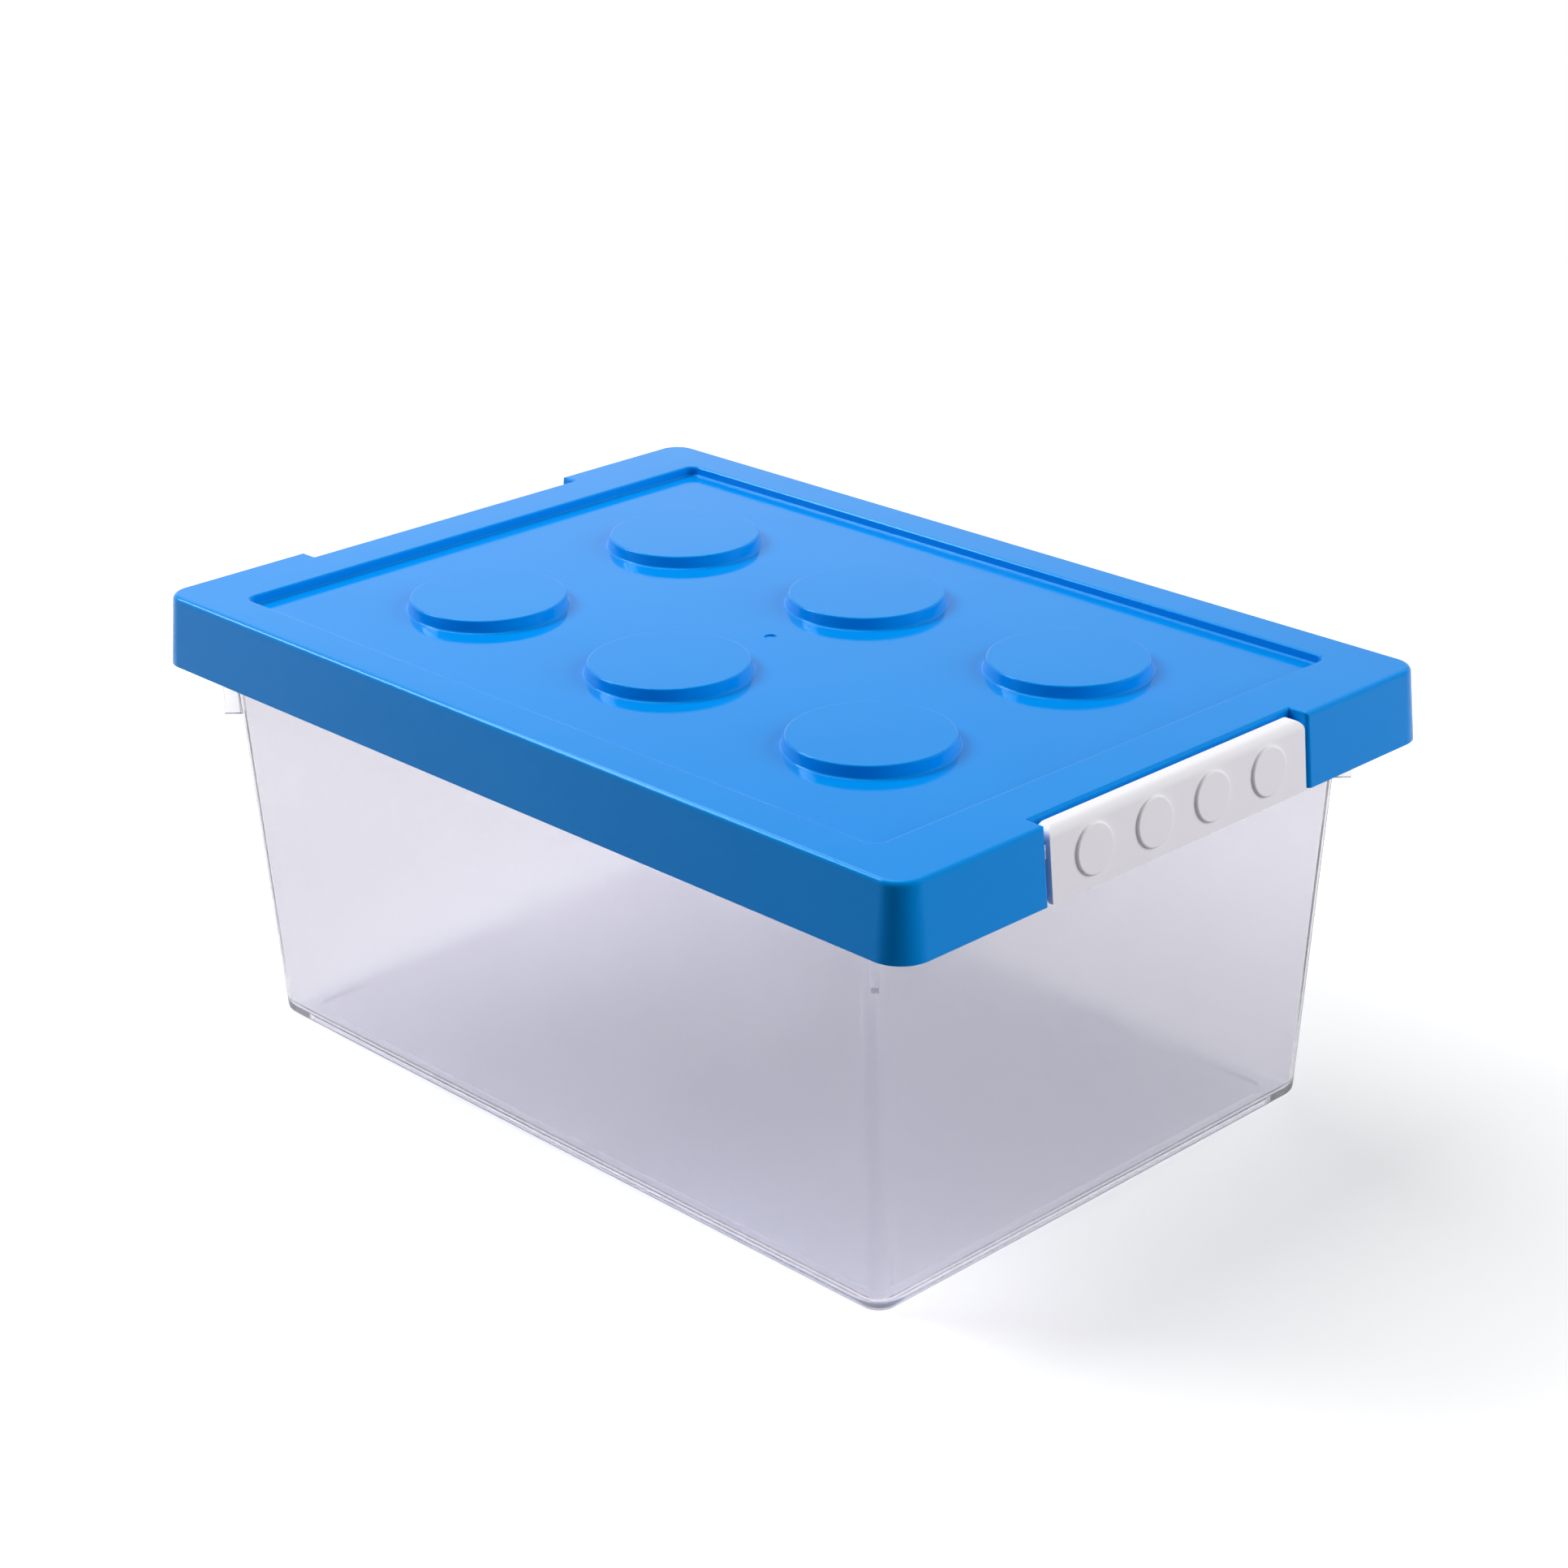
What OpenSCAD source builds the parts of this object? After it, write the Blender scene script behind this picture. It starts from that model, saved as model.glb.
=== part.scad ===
// Storage box in the shape of a toy brick: a clear tapered tub, a lid with six round studs
// in a recessed panel, and a swing latch at each end. All sizes are in millimetres.
// The long side runs along X, the latches are at +X and -X, and the tub stands on Z = 0.

/* [Lid] */
// Length of the lid along its top edge
lid_l = 370; // [330:1:420]
// Width of the lid along its top edge
lid_w = 253; // [230:1:300]
// Height of the closed box, from the floor to the top of the rim
box_h = 165; // [110:1:220]
// Height of the lid's skirt
skirt_h = 26; // [24:0.5:32]
// How far the foot of the skirt stands out past its top edge
skirt_flare = 2.3; // [0.5:0.1:4]
// Radius of the lid's upright corners at the top edge
lid_corner_r = 9; // [6:0.5:14]
// Radius of the lid's top edge
lid_edge_r = 2; // [0.6:0.1:3]
// Wall thickness of the lid
lid_t = 2.2; // [1.8:0.1:2.8]

/* [Recessed panel] */
// Width of the raised rim at the two ends
end_rim = 27; // [24:0.5:32]
// Width of the raised rim along the two sides
side_rim = 17; // [14:0.5:24]
// Depth of the panel below the rim
panel_d = 3.5; // [3:0.1:6]
// Radius of the panel's corners
panel_corner_r = 4; // [3:0.5:8]
// Radius along the top edge of the panel's wall
panel_edge_r = 1; // [0.3:0.1:1.2]
// Radius along the foot of the panel's wall
panel_foot_r = 0.9; // [0.3:0.1:1.5]

/* [Studs] */
// Number of studs along the box
studs_x = 3; // [1:1:3]
// Number of studs across the box
studs_y = 2; // [1:1:2]
// Distance from stud to stud, both ways
stud_pitch = 96; // [70:1:100]
// Diameter of a stud at its top
stud_d = 56.4; // [40:0.2:62]
// Height of a stud above the panel
stud_h = 4.4; // [3.2:0.1:5]
// Growth of a stud's radius from top to foot, so that it leaves its mould
stud_draft = 0.7; // [0.2:0.1:1.2]
// Radius along a stud's top edge
stud_edge_r = 0.8; // [0.3:0.1:1.5]
// Radius along a stud's foot
stud_foot_r = 0.8; // [0.3:0.1:1.2]
// Radius of the moulding gate's dimple at the middle of the panel
gate_r = 2.2; // [1:0.1:4]
// Depth of the gate's dimple
gate_d = 0.5; // [0.2:0.1:0.8]

/* [Notches and latches] */
// Width of the notch in each end of the lid
notch_w = 128; // [100:1:150]
// Depth of the notch at the top edge
notch_d = 7.5; // [6.5:0.1:9]
// Radius of the upright edges where the skirt turns into the notch
notch_side_r = 1.5; // [0.5:0.1:1.5]
// Radius along the top edge of the notch
notch_edge_r = 1; // [0.4:0.1:1.2]
// Drop from the rim's top to the start of the sloped catch in the notch
catch_drop = 2.8; // [2.4:0.1:3.4]
// Reach of the catch out of the notch's wall
catch_reach = 4; // [3:0.1:4.6]
// Slope of the catch
catch_slope = 35; // [33:1:38]
// Height of the catch's foot above the foot of the skirt
catch_foot = 17.5; // [17.2:0.1:18]
// Drop from the rim's top to the top of a latch
latch_drop = 1.5; // [0.8:0.1:1.8]
// Wall thickness of a latch
latch_t = 2; // [1.6:0.1:2.4]
// Radius over which a latch rolls in towards the lid
latch_roll_r = 4; // [3.2:0.1:4.6]
// Radius of a latch's top corners, seen from the end
latch_corner_r = 4; // [2:0.5:6]
// Width of the slot left between a latch and each side of its notch
latch_side_gap = 1.6; // [1:0.1:2.5]
// Gap between a latch's hook and the catch below it
catch_gap = 0.35; // [0.3:0.05:0.6]
// Gap between the tip of a latch's hook and the notch's wall
hook_gap = 1.8; // [1:0.1:2.4]
// Number of round discs on a latch
discs = 4; // [1:1:4]
// Distance from disc to disc
disc_pitch = 28.5; // [20:0.5:29]
// Diameter of a disc
disc_d = 17; // [10:0.5:18]
// Height of a disc above the latch's face
disc_h = 1.1; // [0.8:0.1:1.4]
// Radius along a disc's edge
disc_edge_r = 0.7; // [0.2:0.1:0.8]

/* [Latch pivots] */
// Depth of the pivot behind the lid's top edge
pivot_inset = 5.2; // [4.8:0.1:5.6]
// Height of the pivot above the foot of the skirt
pivot_rise = 6.5; // [6:0.1:7]
// Radius of a pivot pin
pin_r = 2; // [1.6:0.1:2.2]
// Running clearance round a pin in its ear
pin_gap = 0.08; // [0.04:0.01:0.1]
// Radius of the ear round a pin
ear_r = 3.6; // [3.4:0.1:4]
// Thickness of an ear
ear_t = 3; // [2.5:0.1:4]
// Gap between an ear and the latch's side wall
ear_gap = 1.2; // [0.6:0.1:2]

/* [Tub] */
// Wall thickness of the tub
tub_t = 2; // [1.5:0.1:2.5]
// Lean of the tub's end walls away from upright, in degrees
end_draft = 2.4; // [1:0.1:4]
// Lean of the tub's side walls away from upright, in degrees
side_draft = 3.3; // [1:0.1:4]
// Radius of the tub's upright corners
tub_corner_r = 7; // [5:0.5:10]
// Radius along the tub's bottom edge
tub_edge_r = 3; // [1.5:0.5:4]
// Thickness of the floor
floor_t = 2; // [1.6:0.1:4]
// Height of the ring that the tub stands on
foot_h = 1; // [0.6:0.1:3]
// Width of the ring that the tub stands on
foot_w = 6; // [4:0.5:12]
// Gap between the lid's panel and the tub's mouth at the two ends
end_gap = 2.2; // [1:0.1:2.5]
// Gap between the lid's panel and the tub's mouth at the two sides
side_gap = 3.5; // [1:0.1:3.8]
// Gap under the lid's rim where it sits on the tub's flange
seat_gap = 0.3; // [0.3:0.05:0.5]
// Gap between the flange and the lid's walls round it
flange_gap = 1.5; // [1:0.1:2]
// Thickness of the flange and its lip
flange_t = 2.2; // [1.8:0.1:2.6]
// Height of the flange, with its downturned lip
lip_h = 9; // [6:0.5:9.5]
// Radius of the flange's corners
flange_corner_r = 10; // [6:0.5:14]

/* [Fins and gussets] */
// Reach of the fin past each upright corner of the tub
fin_reach = 6.4; // [4:0.1:7]
// Thickness of a fin under the flange
fin_t = 4.2; // [3:0.1:5]
// Thickness of a fin at its foot
fin_foot_t = 2.4; // [1.6:0.1:3]
// Height of a fin's foot below the foot of the skirt
fin_drop = 18; // [8:0.5:30]
// Thickness of the gussets under the flange at the two ends
gusset_t = 1.8; // [1.2:0.1:2.5]
// Height of a gusset's foot above the foot of the skirt
gusset_rise = 3; // [1:0.5:8]
// Distance of the gussets from the middle of their end
gusset_y = 92; // [80:1:104]

/* [Hidden] */
$fn = 96;
corner_steps = 8;
overlap = 2;
cut = 1;
clear_blue = "#0b6fd0";
clear_milk = "#dfe3ea";
latch_white = "#f4f5f6";

// Heights
skirt_z = box_h - skirt_h;
panel_z = box_h - panel_d;
tub_top = box_h - lid_t - seat_gap;
fin_z = skirt_z - fin_drop;
gusset_z = skirt_z + gusset_rise;

// Panel
panel_l = lid_l - 2 * end_rim;
panel_w = lid_w - 2 * side_rim;

// Mouth of the tub: it follows the panel, and the tub's walls lean in below it
mouth_l = panel_l + 2 * (lid_t + end_gap + tub_t);
mouth_w = panel_w + 2 * (lid_t + side_gap + tub_t);

// Inset of the space inside the ring that the tub stands on
foot_in = tub_edge_r + foot_w;

// Notch and catch, seen from the side: x is the distance from the middle of the box
notch_x = lid_l / 2 - notch_d;
catch_x = notch_x + catch_reach;
catch_z = box_h - catch_drop;
catch_foot_z = skirt_z + catch_foot;

// Flange
flange_l = 2 * (notch_x - lid_t - flange_gap);
flange_w = lid_w - 2 * (lid_t + flange_gap);

// Latch: its face leans out as the skirt does
face_lean = atan(skirt_flare / skirt_h);
latch_w = notch_w - 2 * latch_side_gap;
latch_top = box_h - latch_drop;
hook_tip_x = notch_x + hook_gap;
pivot_x = lid_l / 2 - pivot_inset;
pivot_z = skirt_z + pivot_rise;
ear_y = latch_w / 2 - latch_t - ear_gap - ear_t / 2;

// Points along an arc round a centre
function arc_points(centre, r, from, to, steps = 6) =
    [for (i = [0:steps]) let (a = from + (to - from) * i / steps) centre + r * [cos(a), sin(a)]];

// Half the length and half the width of the tub's outside at a height
function half_l(z) = mouth_l / 2 - (tub_top - z) * tan(end_draft);
function half_w(z) = mouth_w / 2 - (tub_top - z) * tan(side_draft);

// A rectangle with round corners
module round_rect(length, width, r) {
    square([length - 2 * r, width], center = true);
    square([length, width - 2 * r], center = true);
    for (x = [-1, 1], y = [-1, 1])
        translate([x * (length / 2 - r), y * (width / 2 - r)]) circle(r);
}

// Sweeps a profile round a rectangle. The profile's x is the distance out from the
// corners of the rectangle, and its y is the height.
module sweep_round(length, width) {
    for (side = [0, 1]) {
        run = side == 0 ? width : length;
        reach = side == 0 ? length / 2 : width / 2;
        for (end = [0, 180])
            rotate(90 * side + end) translate([reach, run / 2, 0])
                rotate([90, 0, 0]) linear_extrude(run) children();
    }
    for (quarter = [0:3])
        translate([(quarter == 0 || quarter == 3 ? 1 : -1) * length / 2,
                   (quarter < 2 ? 1 : -1) * width / 2, 0])
            rotate(90 * quarter) rotate_extrude(angle = 90) children();
}

// Extrudes a profile, drawn in X and Z, over a width that is centred on Y = 0
module extrude_y(width) {
    translate([0, width / 2, 0]) rotate([90, 0, 0]) linear_extrude(width) children();
}

// ---------------------------------------------------------------- lid

// Section of the rim's edge and the skirt, from the corner centres outwards
module skirt_profile() {
    edge = [lid_corner_r - lid_edge_r * (1 - sin(face_lean)) / cos(face_lean), box_h - lid_edge_r];
    polygon(concat(
        [[0, box_h - lid_t], [0, box_h]],
        arc_points(edge, lid_edge_r, 90, face_lean),
        [[lid_corner_r + skirt_flare, skirt_z],
         [lid_corner_r + skirt_flare - lid_t, skirt_z],
         [lid_corner_r - lid_t, box_h - lid_t]]));
}

// Section of the step from the rim down to the panel, from the corner centres outwards
module panel_step_profile() {
    r = panel_corner_r;
    polygon(concat(
        [[0, panel_z - lid_t], [0, panel_z]],
        arc_points([r - panel_foot_r, panel_z + panel_foot_r], panel_foot_r, -90, 0, 3),
        arc_points([r + panel_edge_r, box_h - panel_edge_r], panel_edge_r, 180, 90, 3),
        [[r + lid_t + overlap, box_h], [r + lid_t + overlap, box_h - lid_t],
         [r + lid_t, box_h - lid_t], [r + lid_t, panel_z - lid_t]]));
}

// Section of one stud, a hollow cap
module stud_profile() {
    top_r = stud_d / 2;
    foot_r = top_r + stud_draft;
    top = panel_z + stud_h;
    polygon(concat(
        [[0, top - lid_t], [0, top]],
        arc_points([top_r - stud_edge_r, top - stud_edge_r], stud_edge_r, 90, 0, 4),
        arc_points([foot_r + stud_foot_r, panel_z + stud_foot_r], stud_foot_r, 180, 270, 4),
        [[foot_r + stud_foot_r, panel_z - lid_t], [foot_r - lid_t, panel_z - lid_t],
         [top_r - lid_t, top - lid_t]]));
}

// Puts a child at each stud's place
module at_studs() {
    for (i = [0:studs_x - 1], j = [0:studs_y - 1])
        translate([(i - (studs_x - 1) / 2) * stud_pitch, (j - (studs_y - 1) / 2) * stud_pitch]) children();
}

// Section of the notch's wall and its sloped catch, over which the latch hooks
module catch_profile() {
    fall = tan(catch_slope);
    under = lid_t / cos(catch_slope);
    polygon(concat(
        [[notch_x - lid_t - overlap, box_h - lid_t], [notch_x - lid_t - overlap, box_h]],
        arc_points([notch_x - notch_edge_r, box_h - notch_edge_r], notch_edge_r, 90, 0, 3),
        [[notch_x, catch_z],
         [catch_x, catch_z - catch_reach * fall],
         [catch_x, catch_foot_z],
         [catch_x - lid_t, catch_foot_z],
         [catch_x - lid_t, catch_z - (catch_reach - lid_t) * fall - under],
         [notch_x - lid_t, catch_z + lid_t * fall - under],
         [notch_x - lid_t, box_h - lid_t]]));
}

// Section of the wall that closes each side of a notch
module notch_side_profile() {
    polygon([[notch_x - lid_t, box_h - lid_t / 2],
             [lid_l / 2 - lid_t / 2, box_h - lid_t / 2],
             [lid_l / 2 + skirt_flare - lid_t / 2, skirt_z],
             [notch_x - lid_t, skirt_z]]);
}

// What a round of radius r takes off a corner at the origin that faces +X and -Y
module corner_waste(r) {
    difference() {
        translate([-r, -cut]) square(r + cut);
        translate([-r, r]) circle(r);
    }
}

// What the rounds take off the edges on the +Y side of a notch: the upright one, which leans
// with the skirt, the top one, and the top of the notch's inner corner
module notch_side_waste() {
    translate([lid_l / 2, notch_w / 2, box_h]) rotate([0, -face_lean, 0])
        translate([0, 0, -skirt_h - 2 * cut]) linear_extrude(skirt_h + 3 * cut) corner_waste(notch_side_r);
    translate([notch_x, notch_w / 2, box_h]) {
        rotate([90, 0, 90]) linear_extrude(notch_d + skirt_flare) rotate(180) corner_waste(notch_edge_r);
        rotate_extrude() intersection() {
            translate([0, -notch_edge_r]) square(notch_edge_r + cut);
            rotate(180) corner_waste(notch_edge_r);
        }
    }
}

module lid() {
    color(clear_blue) difference() {
        union() {
            difference() {
                union() {
                    sweep_round(lid_l - 2 * lid_corner_r, lid_w - 2 * lid_corner_r) skirt_profile();
                    translate([0, 0, box_h - lid_t]) linear_extrude(lid_t) difference() {
                        square([lid_l - 2 * lid_corner_r + overlap, lid_w - 2 * lid_corner_r + overlap],
                               center = true);
                        round_rect(panel_l + 2 * lid_t, panel_w + 2 * lid_t, panel_corner_r + lid_t);
                    }
                }
                for (end = [0, 180])
                    rotate(end) translate([notch_x, -notch_w / 2, skirt_z - cut])
                        cube([notch_d + skirt_flare + cut, notch_w, skirt_h + 2 * cut]);
                for (end = [0, 180])
                    rotate(end) translate([notch_x - lid_t, -notch_w / 2, box_h - lid_t - cut])
                        cube([lid_t + cut, notch_w, lid_t + 2 * cut]);
            }
            sweep_round(panel_l - 2 * panel_corner_r, panel_w - 2 * panel_corner_r) panel_step_profile();
            translate([0, 0, panel_z - lid_t]) linear_extrude(lid_t) difference() {
                square([panel_l - 2 * panel_corner_r + overlap, panel_w - 2 * panel_corner_r + overlap],
                       center = true);
                at_studs() circle(stud_d / 2);
            }
            at_studs() rotate_extrude() stud_profile();
            for (end = [0, 180]) rotate(end) {
                extrude_y(notch_w) catch_profile();
                for (side = [-1, 1])
                    translate([0, side * (notch_w + lid_t) / 2, 0]) extrude_y(lid_t) notch_side_profile();
            }
        }
        for (end = [0, 180], side = [0, 1])
            rotate(end) mirror([0, side, 0]) notch_side_waste();
        translate([0, 0, panel_z - gate_d]) cylinder(h = gate_d + cut, r = gate_r);
    }
}

// ---------------------------------------------------------------- latch

// Section of a latch: a face that leans as the skirt does, rolled in over the catch
module latch_profile() {
    roll = [lid_l / 2 - (latch_roll_r + sin(face_lean) * (latch_top - latch_roll_r - box_h)) / cos(face_lean),
            latch_top - latch_roll_r];
    fall = tan(catch_slope);
    under = catch_z + catch_gap / cos(catch_slope);
    inner_x = lid_l / 2 - latch_t / cos(face_lean);
    bend_z = (under - (inner_x - notch_x + box_h * tan(face_lean)) * fall) / (1 - tan(face_lean) * fall);
    bend_x = inner_x + (box_h - bend_z) * tan(face_lean);
    polygon(concat(
        [[hook_tip_x, under - (hook_tip_x - notch_x) * fall], [hook_tip_x, latch_top]],
        arc_points(roll, latch_roll_r, 90, face_lean, 8),
        [[lid_l / 2 + skirt_flare, skirt_z],
         [inner_x + skirt_flare, skirt_z],
         [bend_x, bend_z]]));
}

// Section of a latch's side wall, which carries the pivot pin
module latch_side_profile() {
    inner_x = lid_l / 2 - latch_t / 2;
    translate([pivot_x, pivot_z]) circle(ear_r);
    polygon([[pivot_x, pivot_z + ear_r], [pivot_x, pivot_z - ear_r],
             [inner_x + skirt_flare, skirt_z], [inner_x + skirt_flare / 2, skirt_z + skirt_h / 2],
             [inner_x - latch_t, skirt_z + skirt_h / 2]]);
}

// Section of a round disc on the latch's face
module disc_profile() {
    polygon(concat(
        [[0, -latch_t / 2], [0, disc_h]],
        arc_points([disc_d / 2 - disc_edge_r, disc_h - disc_edge_r], disc_edge_r, 90, 0, 4),
        [[disc_d / 2, -latch_t / 2]]));
}

// The latch at the +X end
module latch() {
    color(latch_white) {
        intersection() {
            extrude_y(latch_w) latch_profile();
            translate([notch_x, 0, 0]) rotate([90, 0, 90]) linear_extrude(notch_d + skirt_flare + cut) {
                translate([-latch_w / 2, skirt_z]) square([latch_w, latch_top - skirt_z - latch_corner_r]);
                translate([-latch_w / 2 + latch_corner_r, skirt_z])
                    square([latch_w - 2 * latch_corner_r, latch_top - skirt_z]);
                for (side = [-1, 1])
                    translate([side * (latch_w / 2 - latch_corner_r), latch_top - latch_corner_r])
                        circle(latch_corner_r);
            }
        }
        for (side = [-1, 1]) {
            translate([0, side * (latch_w - latch_t) / 2, 0]) extrude_y(latch_t) latch_side_profile();
            translate([pivot_x, side * (ear_y + latch_w / 2 - latch_t) / 2, pivot_z]) rotate([90, 0, 0])
                cylinder(h = latch_w / 2 - latch_t - ear_y + ear_t, r = pin_r, center = true);
        }
        translate([lid_l / 2 + skirt_flare / 2, 0, skirt_z + (latch_top - skirt_z) / 2])
            rotate([0, -face_lean, 0])
                for (i = [0:discs - 1])
                    translate([0, (i - (discs - 1) / 2) * disc_pitch, 0]) rotate([0, 90, 0])
                        rotate_extrude() disc_profile();
    }
}

module latch_right() {
    latch();
}

module latch_left() {
    rotate(180) latch();
}

// ---------------------------------------------------------------- tub

// The outline of the tub at a height, inset all round, with corners of radius r
function tub_ring(z, inset, r) =
    [for (quarter = [0:3], step = [0:corner_steps])
        let (turn = 90 * (quarter + step / corner_steps),
             x = (quarter == 0 || quarter == 3 ? 1 : -1) * (half_l(z) - inset - r),
             y = (quarter < 2 ? 1 : -1) * (half_w(z) - inset - r))
        [x + r * cos(turn), y + r * sin(turn), z]];

// The tapered form of the tub, with a round bottom edge, inset all round by a thickness
module tub_form(bottom, top, inset) {
    rings = concat(
        [for (a = [0:15:90]) let (in = tub_edge_r * (1 - sin(a)))
            tub_ring(bottom + tub_edge_r * (1 - cos(a)), inset + in, tub_corner_r - inset - in / 2)],
        [tub_ring(top, inset, tub_corner_r - inset)]);
    sides = len(rings[0]);
    last = (len(rings) - 1) * sides;
    polyhedron(
        points = [for (ring = rings) each ring],
        faces = concat(
            [[for (i = [0:sides - 1]) i]],
            [[for (i = [sides - 1:-1:0]) last + i]],
            [for (level = [0:len(rings) - 2], i = [0:sides - 1])
                let (a = level * sides + i, b = level * sides + (i + 1) % sides)
                [a, a + sides, b + sides, b]]));
}

// Section of the flange and its downturned lip, from the corner centres outwards
module flange_profile() {
    r = flange_corner_r;
    polygon([[0, tub_top - flange_t], [0, tub_top], [r, tub_top], [r, tub_top - lip_h],
             [r - flange_t, tub_top - lip_h], [r - flange_t, tub_top - flange_t]]);
}

// Section of an ear that carries a latch's pin, hung from the flange's lip
module ear_profile() {
    lip_x = flange_l / 2 - flange_t / 2;
    lip_z = tub_top - lip_h;
    toward = atan2(lip_z - pivot_z, lip_x - pivot_x);
    across = ear_r * [cos(toward - 90), sin(toward - 90)];
    translate([pivot_x, pivot_z]) circle(ear_r);
    polygon([[pivot_x, pivot_z] + across, [pivot_x, pivot_z] - across,
             [lip_x, lip_z], [lip_x, lip_z + lip_h / 2]]);
}

// Section of a gusset between an end wall and the flange's lip
module gusset_profile() {
    lip_x = (flange_l - flange_t) / 2;
    polygon([[half_l(gusset_z) - tub_t / 2, gusset_z], [lip_x, tub_top - lip_h],
             [lip_x, tub_top - flange_t / 2], [half_l(tub_top) - tub_t / 2, tub_top - flange_t / 2]]);
}

// A fin that stands out from an upright corner along +X, from the middle of the corner's round
module fin() {
    height = tub_top - flange_t / 2 - fin_z;
    rotate([90, 0, 90]) linear_extrude(tub_corner_r + fin_reach)
        polygon([[-fin_foot_t / 2, 0], [fin_foot_t / 2, 0], [fin_t / 2, height], [-fin_t / 2, height]]);
}

module tub() {
    color(clear_milk, 0.5) difference() {
        union() {
            tub_form(0, tub_top - flange_t / 2, 0);
            sweep_round(flange_l - 2 * flange_corner_r, flange_w - 2 * flange_corner_r) flange_profile();
            translate([0, 0, tub_top - flange_t]) linear_extrude(flange_t)
                square([flange_l - 2 * flange_corner_r + overlap, flange_w - 2 * flange_corner_r + overlap],
                       center = true);
            for (x = [-1, 1], y = [-1, 1])
                translate([x * (half_l(fin_z) - tub_corner_r), y * (half_w(fin_z) - tub_corner_r), fin_z])
                    rotate(atan2(y, x)) fin();
            for (end = [0, 180], side = [-1, 1])
                rotate(end) translate([0, side * gusset_y, 0]) extrude_y(gusset_t) gusset_profile();
            // Ears for the latches' pins
            for (end = [0, 180], side = [-1, 1])
                rotate(end) translate([0, side * ear_y, 0]) extrude_y(ear_t) ear_profile();
        }
        tub_form(foot_h + floor_t, tub_top + cut, tub_t);
        // Space inside the ring that the tub stands on
        translate([0, 0, -cut]) linear_extrude(foot_h + cut)
            round_rect(2 * (half_l(0) - foot_in), 2 * (half_w(0) - foot_in), tub_corner_r);
        for (end = [0, 180], side = [-1, 1])
            rotate(end) translate([pivot_x, side * ear_y, pivot_z]) rotate([90, 0, 0])
                cylinder(h = ear_t + cut, r = pin_r + pin_gap, center = true);
    }
}

tub();
lid();
latch_right();
latch_left();
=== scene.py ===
"""Looks for a lidded storage box: a clear polypropylene tub, a glossy blue lid with six studs
and two white swing latches. All lengths are in metres, in the frame of the CAD model."""

import math

import bmesh
import bpy
from mathutils import Matrix, Vector


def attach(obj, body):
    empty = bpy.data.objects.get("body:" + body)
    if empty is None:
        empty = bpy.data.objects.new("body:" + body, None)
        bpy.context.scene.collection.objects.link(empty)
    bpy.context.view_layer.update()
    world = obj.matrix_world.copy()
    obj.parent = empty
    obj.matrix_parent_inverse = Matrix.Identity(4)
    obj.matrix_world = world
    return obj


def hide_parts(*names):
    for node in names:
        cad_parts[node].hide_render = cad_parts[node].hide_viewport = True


MM = 0.001

# Vertices of a CAD mesh that are closer than this become one
WELD = 0.002 * MM
# Faces that meet at less than this many degrees become one flat face
FLAT = 0.4
# Edges that turn by more than this many degrees are sharp
SHARP = 30
# How far a mould rounds its sharp edges. The tub's are left sharp, because its walls are thin.
LID_EDGE = 0.3 * MM
LATCH_EDGE = 0.6 * MM

FLOOR_SIZE = 12.0
# A hair under the foot ring, so that the two faces don't coincide
FLOOR_Z = -0.05 * MM
# Distances from the box between which the floor turns into the backdrop
FADE_FROM = 0.6
FADE_TO = 1.3
# Emission that lifts the floor's shaded colour to white
FLOOR_LIFT = 0.36
# Light that the far floor and the sky throw on the box, where 1 is white
FAR_LIGHT = 0.25
SKY_LIGHT = 0.07

# The backdrop has a dim band. These are the height of its middle, from 0 at the horizon to 1 overhead,
# the way from there to white, and its strength in the middle.
BAND_Z = 0.42
BAND_HALF = 0.14
BAND_STRENGTH = 0.5
# Towards +X the backdrop falls off to this strength, between these two values of the direction's X
SIDE_STRENGTH = 0.75
SIDE_FROM = -0.85
SIDE_TO = -0.55

# The point that the lamps face
AIM = (0, 0, 0.08)

CAMERA_PLACE = (0.80005, -0.76775, 0.56998)
# Azimuth, elevation and roll in degrees
CAMERA_ANGLES = (45.97, 22.73, -0.776)
# Lens and sensor in mm
CAMERA_LENS = 77.5
CAMERA_SENSOR = 36

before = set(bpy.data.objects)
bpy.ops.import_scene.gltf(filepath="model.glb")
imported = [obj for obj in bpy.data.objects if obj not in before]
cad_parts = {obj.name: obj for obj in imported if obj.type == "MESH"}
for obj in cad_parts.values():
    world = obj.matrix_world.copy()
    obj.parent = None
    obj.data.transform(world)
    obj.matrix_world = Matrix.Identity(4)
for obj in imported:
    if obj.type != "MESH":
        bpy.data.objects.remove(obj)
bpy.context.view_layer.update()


# ------------------------------------------------------------------ materials


def shade(hex_code):
    """The linear colour of an sRGB hex value."""
    channels = [int(hex_code[i:i + 2], 16) / 255 for i in (1, 3, 5)]
    return [c / 12.92 if c <= 0.04045 else ((c + 0.055) / 1.055) ** 2.4 for c in channels] + [1.0]


def add(tree, kind, inputs=None, **settings):
    """Adds a shader node. inputs holds its sockets' values, or the sockets they come from, and settings
    are its properties."""
    made = tree.nodes.new(kind)
    for name, value in settings.items():
        setattr(made, name, value)
    for name, value in (inputs or {}).items():
        if isinstance(value, bpy.types.NodeSocket):
            tree.links.new(value, made.inputs[name])
        else:
            made.inputs[name].default_value = value
    return made


def new_material(name):
    """An empty material, its tree and its output node."""
    material = bpy.data.materials.new(name)
    material.use_nodes = True
    tree = material.node_tree
    tree.nodes.clear()
    return material, tree, add(tree, "ShaderNodeOutputMaterial")


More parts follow.
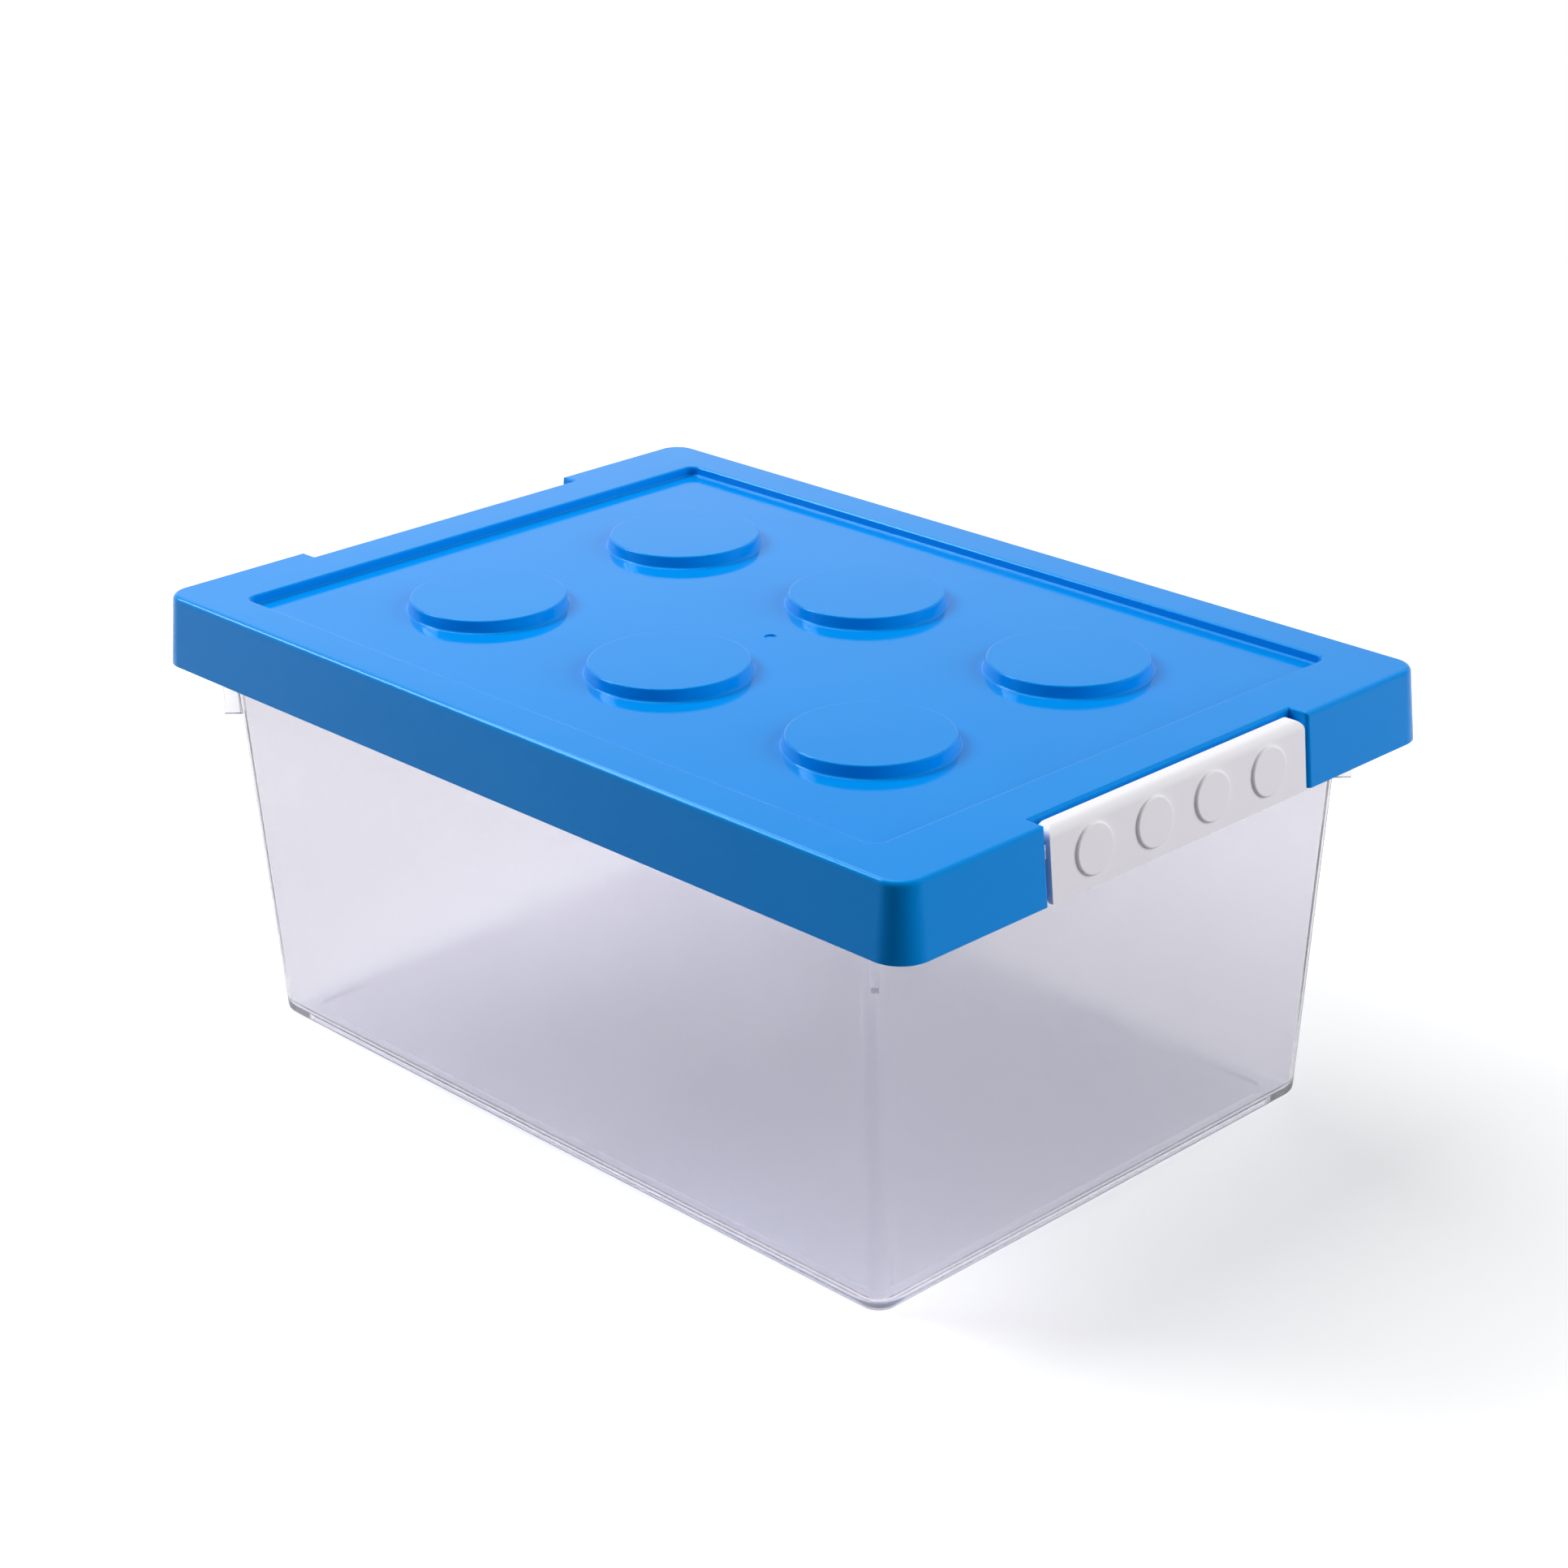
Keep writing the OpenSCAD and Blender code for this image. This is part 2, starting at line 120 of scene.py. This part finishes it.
def polished_blue_polypropylene():
    """Polypropylene from a polished mould: a clean gloss that ripples a little, as the plastic shrinks
    off the steel."""
    material, tree, out = new_material("polished_blue_polypropylene")
    place = add(tree, "ShaderNodeTexCoord").outputs["Object"]
    # Pigment streaks, a hand's width long
    streaks = add(tree, "ShaderNodeTexNoise", {"Vector": place, "Scale": 1 / (90 * MM), "Detail": 3.0})
    colour = add(tree, "ShaderNodeMix",
                 {"Factor": streaks.outputs["Fac"], "A": shade("#008be4"), "B": shade("#0091ea")},
                 data_type="RGBA")
    # Handling dulls the gloss in patches
    patches = add(tree, "ShaderNodeTexNoise", {"Vector": place, "Scale": 1 / (35 * MM), "Detail": 4.0})
    rough = add(tree, "ShaderNodeMapRange",
                {"Value": patches.outputs["Fac"], "From Min": 0.3, "From Max": 0.7,
                 "To Min": 0.08, "To Max": 0.13})
    # Sink of the panel, 40 mm from crest to crest, and orange peel, 2.5 mm
    sink = add(tree, "ShaderNodeTexNoise", {"Vector": place, "Scale": 1 / (40 * MM), "Detail": 1.0})
    peel = add(tree, "ShaderNodeTexNoise", {"Vector": place, "Scale": 1 / (2.5 * MM), "Detail": 2.0})
    low = add(tree, "ShaderNodeBump",
              {"Height": sink.outputs["Fac"], "Strength": 0.15, "Distance": 0.4 * MM})
    fine = add(tree, "ShaderNodeBump",
               {"Height": peel.outputs["Fac"], "Strength": 0.12, "Distance": 0.1 * MM,
                "Normal": low.outputs["Normal"]})
    # The pigment under the skin tints the gloss
    shader = add(tree, "ShaderNodeBsdfPrincipled",
                 {"Base Color": colour.outputs["Result"], "Roughness": rough.outputs["Result"],
                  "Normal": fine.outputs["Normal"], "IOR": 1.46, "Specular Tint": shade("#00b0ff")})
    tree.links.new(shader.outputs["BSDF"], out.inputs["Surface"])
    return material


def satin_white_polypropylene():
    """White polypropylene from a lightly spark-eroded mould: a soft sheen with a fine grain."""
    material, tree, out = new_material("satin_white_polypropylene")
    place = add(tree, "ShaderNodeTexCoord").outputs["Object"]
    cloud = add(tree, "ShaderNodeTexNoise", {"Vector": place, "Scale": 1 / (25 * MM), "Detail": 3.0})
    colour = add(tree, "ShaderNodeMix",
                 {"Factor": cloud.outputs["Fac"], "A": shade("#f3f2f6"), "B": shade("#f7f6fa")},
                 data_type="RGBA")
    rough = add(tree, "ShaderNodeMapRange",
                {"Value": cloud.outputs["Fac"], "From Min": 0.3, "From Max": 0.7,
                 "To Min": 0.32, "To Max": 0.42})
    # Spark grain, drawn at 0.8 mm because the real one is finer than a pixel
    grain = add(tree, "ShaderNodeTexNoise", {"Vector": place, "Scale": 1 / (0.8 * MM), "Detail": 2.0})
    bump = add(tree, "ShaderNodeBump",
               {"Height": grain.outputs["Fac"], "Strength": 0.15, "Distance": 0.05 * MM})
    shader = add(tree, "ShaderNodeBsdfPrincipled",
                 {"Base Color": colour.outputs["Result"], "Roughness": rough.outputs["Result"],
                  "Normal": bump.outputs["Normal"], "IOR": 1.49})
    tree.links.new(shader.outputs["BSDF"], out.inputs["Surface"])
    return material


def clear_polypropylene():
    """Unpigmented polypropylene: lets things show through it, sharp where they touch it and milky
    further in."""
    material, tree, out = new_material("clear_polypropylene")
    place = add(tree, "ShaderNodeTexCoord").outputs["Object"]
    # Faint clouds where the melt cooled unevenly
    cloud = add(tree, "ShaderNodeTexNoise", {"Vector": place, "Scale": 1 / (60 * MM), "Detail": 3.0})
    colour = add(tree, "ShaderNodeMix",
                 {"Factor": cloud.outputs["Fac"], "A": shade("#e9e8ed"), "B": shade("#efeef2")},
                 data_type="RGBA")
    rough = add(tree, "ShaderNodeMapRange",
                {"Value": cloud.outputs["Fac"], "From Min": 0.3, "From Max": 0.7,
                 "To Min": 0.12, "To Max": 0.18})
    # Orange peel, 4 mm from crest to crest
    peel = add(tree, "ShaderNodeTexNoise", {"Vector": place, "Scale": 1 / (4 * MM), "Detail": 2.0})
    bump = add(tree, "ShaderNodeBump",
               {"Height": peel.outputs["Fac"], "Strength": 0.1, "Distance": 0.05 * MM})
    shader = add(tree, "ShaderNodeBsdfPrincipled",
                 {"Base Color": colour.outputs["Result"], "Roughness": rough.outputs["Result"],
                  "Normal": bump.outputs["Normal"], "IOR": 1.49, "Transmission Weight": 0.92})
    # The lamps reach what is behind it, as through any clear plastic
    lamp = add(tree, "ShaderNodeLightPath").outputs["Is Shadow Ray"]
    through = add(tree, "ShaderNodeBsdfTransparent", {"Color": shade("#e4e3e8")})
    both = add(tree, "ShaderNodeMixShader",
               {0: lamp, 1: shader.outputs["BSDF"], 2: through.outputs["BSDF"]})
    tree.links.new(both.outputs["Shader"], out.inputs["Surface"])
    return material


# --------------------------------------------------------------------- pieces


def welded(node, edge, material):
    """A moulding: a welded copy of a CAD node with its sharp edges rounded, as a mould's edges are."""
    made = bmesh.new()
    made.from_mesh(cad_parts[node].data)
    bmesh.ops.remove_doubles(made, verts=made.verts, dist=WELD)
    bmesh.ops.dissolve_limit(made, angle_limit=math.radians(FLAT), verts=made.verts, edges=made.edges)
    if edge:
        sharp = [e for e in made.edges if e.is_manifold and e.calc_face_angle() > math.radians(SHARP)]
        bmesh.ops.bevel(made, geom=sharp, offset=edge, offset_type="OFFSET", segments=2, profile=0.5,
                        affect="EDGES", clamp_overlap=True, material=-1)
    mesh = bpy.data.meshes.new(node + "_moulding")
    made.to_mesh(mesh)
    made.free()
    mesh.shade_smooth()
    mesh.set_sharp_from_angle(angle=math.radians(SHARP))
    piece = bpy.data.objects.new(node + "_moulding", mesh)
    # Flat faces stay flat up to their round edges
    flat = piece.modifiers.new("flat_faces", "WEIGHTED_NORMAL")
    flat.weight = 100
    flat.keep_sharp = True
    bpy.context.scene.collection.objects.link(piece)
    mesh.materials.append(material)
    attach(piece, node)
    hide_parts(node)


blue = polished_blue_polypropylene()
white = satin_white_polypropylene()
clear = clear_polypropylene()
welded("tub", 0, clear)
welded("lid", LID_EDGE, blue)
for latch in ("latch_right", "latch_left"):
    welded(latch, LATCH_EDGE, white)


# ---------------------------------------------------------------------- stage


def floor_material():
    """A matt pale floor."""
    material, tree, out = new_material("pale_floor")
    # To the eye, in gloss and through clear plastic it is near white. What it throws back at the box is
    # painted shade: a dimmer, slightly violet colour, seen only by diffuse bounce rays, stands in for
    # its shade.
    path = add(tree, "ShaderNodeLightPath")
    bounce = path.outputs["Is Diffuse Ray"]
    colour = add(tree, "ShaderNodeMix",
                 {"Factor": bounce, "A": shade("#e6e6e6"), "B": shade("#72687d")},
                 data_type="RGBA")
    matt = add(tree, "ShaderNodeBsdfDiffuse", {"Color": colour.outputs["Result"]})
    # Its lift to white is for the eye, also through the tub, and gloss needs none. A ray that has passed
    # through rough clear plastic counts as glossy too, so those are taken off.
    gloss = add(tree, "ShaderNodeMath",
                {0: path.outputs["Is Glossy Ray"], 1: path.outputs["Is Transmission Ray"]},
                operation="SUBTRACT")
    plain = add(tree, "ShaderNodeMath", {0: gloss.outputs[0], 1: bounce}, operation="MAXIMUM")
    lift = add(tree, "ShaderNodeMapRange",
               {"Value": plain.outputs[0], "To Min": FLOOR_LIFT, "To Max": 0.0})
    glow = add(tree, "ShaderNodeEmission", {"Strength": lift.outputs["Result"]})
    near = add(tree, "ShaderNodeAddShader", {0: matt.outputs["BSDF"], 1: glow.outputs["Emission"]})
    # Far from the box it turns into the white of the backdrop
    place = add(tree, "ShaderNodeTexCoord").outputs["Object"]
    distance = add(tree, "ShaderNodeVectorMath", {0: place}, operation="LENGTH")
    fade = add(tree, "ShaderNodeMapRange",
               {"Value": distance.outputs["Value"], "From Min": FADE_FROM, "From Max": FADE_TO},
               interpolation_type="SMOOTHSTEP")
    backdrop = add(tree, "ShaderNodeMapRange", {"Value": bounce, "To Min": 1.0, "To Max": FAR_LIGHT})
    far = add(tree, "ShaderNodeEmission", {"Strength": backdrop.outputs["Result"]})
    both = add(tree, "ShaderNodeMixShader",
               {0: fade.outputs["Result"], 1: near.outputs["Shader"], 2: far.outputs["Emission"]})
    tree.links.new(both.outputs["Shader"], out.inputs["Surface"])
    return material


def lay_floor():
    made = bmesh.new()
    bmesh.ops.create_grid(made, x_segments=1, y_segments=1, size=FLOOR_SIZE / 2,
                          matrix=Matrix.Translation((0, 0, FLOOR_Z)))
    mesh = bpy.data.meshes.new("floor")
    made.to_mesh(mesh)
    made.free()
    mesh.materials.append(floor_material())
    floor = bpy.data.objects.new("floor", mesh)
    bpy.context.scene.collection.objects.link(floor)


def light_world():
    """White to the eye, a backdrop in gloss and in clear plastic, and a dim, even sky for the light that
    it gives."""
    world = bpy.data.worlds.new("studio")
    bpy.context.scene.world = world
    world.use_nodes = True
    tree = world.node_tree
    tree.nodes.clear()
    path = add(tree, "ShaderNodeLightPath")
    seen = add(tree, "ShaderNodeMath",
               {0: path.outputs["Is Glossy Ray"], 1: path.outputs["Is Transmission Ray"]},
               operation="MAXIMUM")
    # The backdrop is white low down, with a dim band where it meets the white ceiling
    direction = add(tree, "ShaderNodeTexCoord").outputs["Generated"]
    way = add(tree, "ShaderNodeSeparateXYZ", {"Vector": direction})
    above = add(tree, "ShaderNodeMath", {0: way.outputs["Z"], 1: BAND_Z}, operation="SUBTRACT")
    off_band = add(tree, "ShaderNodeMath", {0: above.outputs[0]}, operation="ABSOLUTE")
    height = add(tree, "ShaderNodeMapRange",
                 {"Value": off_band.outputs[0], "From Max": BAND_HALF, "To Min": BAND_STRENGTH})
    side = add(tree, "ShaderNodeMapRange",
               {"Value": way.outputs["X"], "From Min": SIDE_FROM, "From Max": SIDE_TO,
                "To Min": 1.0, "To Max": SIDE_STRENGTH})
    backdrop = add(tree, "ShaderNodeMath", {0: height.outputs["Result"], 1: side.outputs["Result"]},
                   operation="MULTIPLY")
    light = add(tree, "ShaderNodeMapRange",
                {"Value": seen.outputs[0], "To Min": SKY_LIGHT, "To Max": backdrop.outputs[0]})
    strength = add(tree, "ShaderNodeMath",
                   {0: light.outputs["Result"], 1: path.outputs["Is Camera Ray"]},
                   operation="MAXIMUM")
    sky = add(tree, "ShaderNodeBackground", {"Color": shade("#ffffff"), "Strength": strength.outputs[0]})
    out = add(tree, "ShaderNodeOutputWorld")
    tree.links.new(sky.outputs["Background"], out.inputs["Surface"])


def add_softbox(name, place, size, power, in_gloss=True):
    """A square area lamp. in_gloss says if glossy surfaces mirror it."""
    lamp = bpy.data.lights.new(name, "AREA")
    lamp.size = size
    lamp.energy = power
    softbox = bpy.data.objects.new(name, lamp)
    softbox.visible_glossy = in_gloss
    softbox.location = place
    softbox.rotation_euler = (Vector(AIM) - Vector(place)).to_track_quat("-Z", "Y").to_euler()
    bpy.context.scene.collection.objects.link(softbox)


def set_camera():
    """The camera, by its place and the direction that it looks from."""
    azimuth, elevation, roll = (math.radians(angle) for angle in CAMERA_ANGLES)
    back = Vector((math.sin(azimuth) * math.cos(elevation), -math.cos(azimuth) * math.cos(elevation),
                   math.sin(elevation)))
    level = Vector((0, 0, 1)).cross(back).normalized()
    upright = back.cross(level)
    right = math.cos(roll) * level + math.sin(roll) * upright
    up = math.cos(roll) * upright - math.sin(roll) * level
    data = bpy.data.cameras.new("camera")
    data.sensor_width = CAMERA_SENSOR
    data.lens = CAMERA_LENS
    camera = bpy.data.objects.new("camera", data)
    turn = Matrix((right, up, back)).transposed().to_4x4()
    camera.matrix_world = Matrix.Translation(CAMERA_PLACE) @ turn
    bpy.context.scene.collection.objects.link(camera)
    bpy.context.scene.camera = camera


lay_floor()
light_world()
add_softbox("overhead", place=(-0.9, 0.0, 2.0), size=1.6, power=27.5)
add_softbox("left", place=(-1.5, -0.9, 1.5), size=0.9, power=29)
# This one is so low that the lid's top would mirror it towards an eye on the far side
add_softbox("right", place=(1.9, 1.3, 1.1), size=1.8, power=48, in_gloss=False)
set_camera()
bpy.context.scene.view_settings.view_transform = "Standard"
